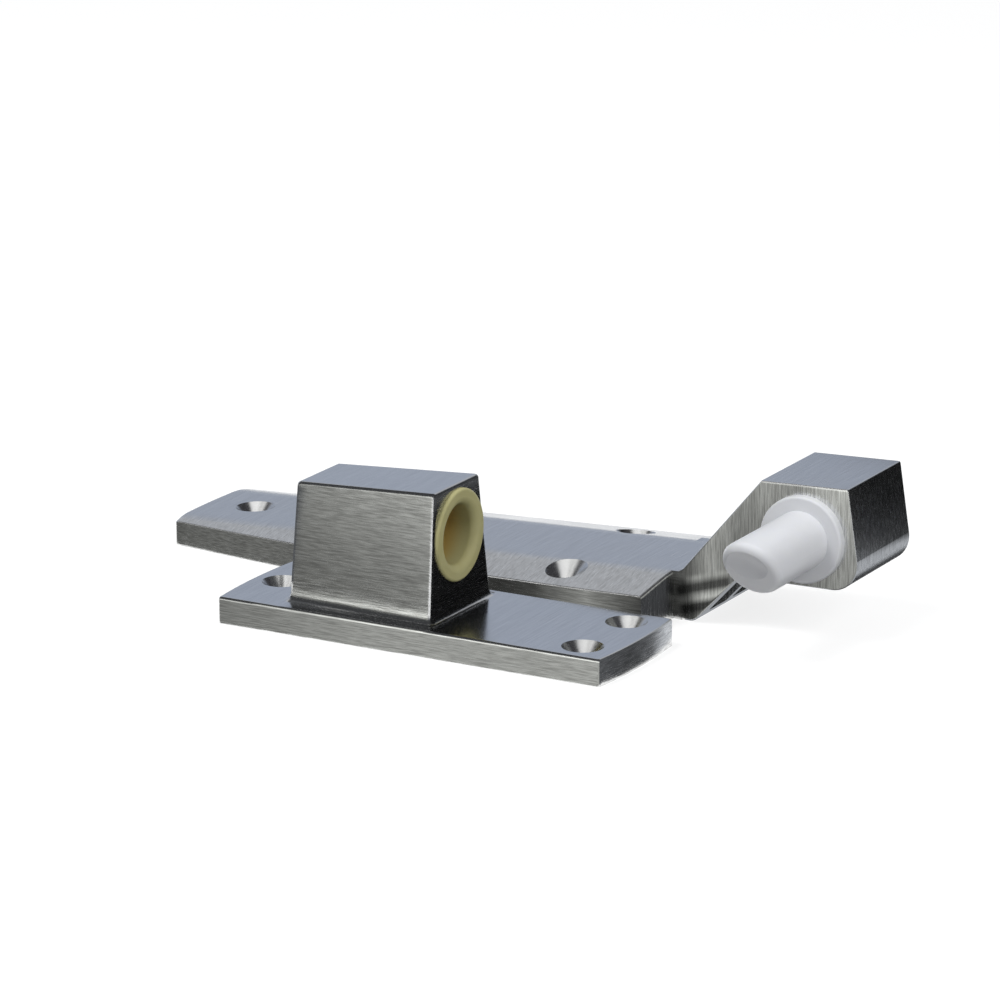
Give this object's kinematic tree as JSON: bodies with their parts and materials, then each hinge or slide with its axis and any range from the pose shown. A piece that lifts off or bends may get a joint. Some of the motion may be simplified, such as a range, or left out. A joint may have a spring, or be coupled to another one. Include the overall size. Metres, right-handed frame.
{
  "type": "lift-off door hinge",
  "caption": "Offset lift-off hinge for a walk-in cold room door: strap leaf with pin and flange leaf with bush, lying side by side.",
  "frame": {"origin": "centre of the flange leaf's back face, on the surface that both leaves lie on", "axes": "+X along both leaves towards the strap leaf's knuckle, +Y from the flange leaf towards the strap leaf, +Z out of the leaves' backs"},
  "size_m": [0.2083, 0.1075, 0.0424],
  "materials": {
    "cast_leaf": "brushed",
    "pin_plastic": "satin",
    "bush_plastic": "satin"
  },
  "bodies": {
    "root": {"flange_leaf": "cast_leaf", "flange_bush": "bush_plastic", "strap_leaf": "cast_leaf", "hinge_pin": "pin_plastic"}
  },
  "joints": []
}
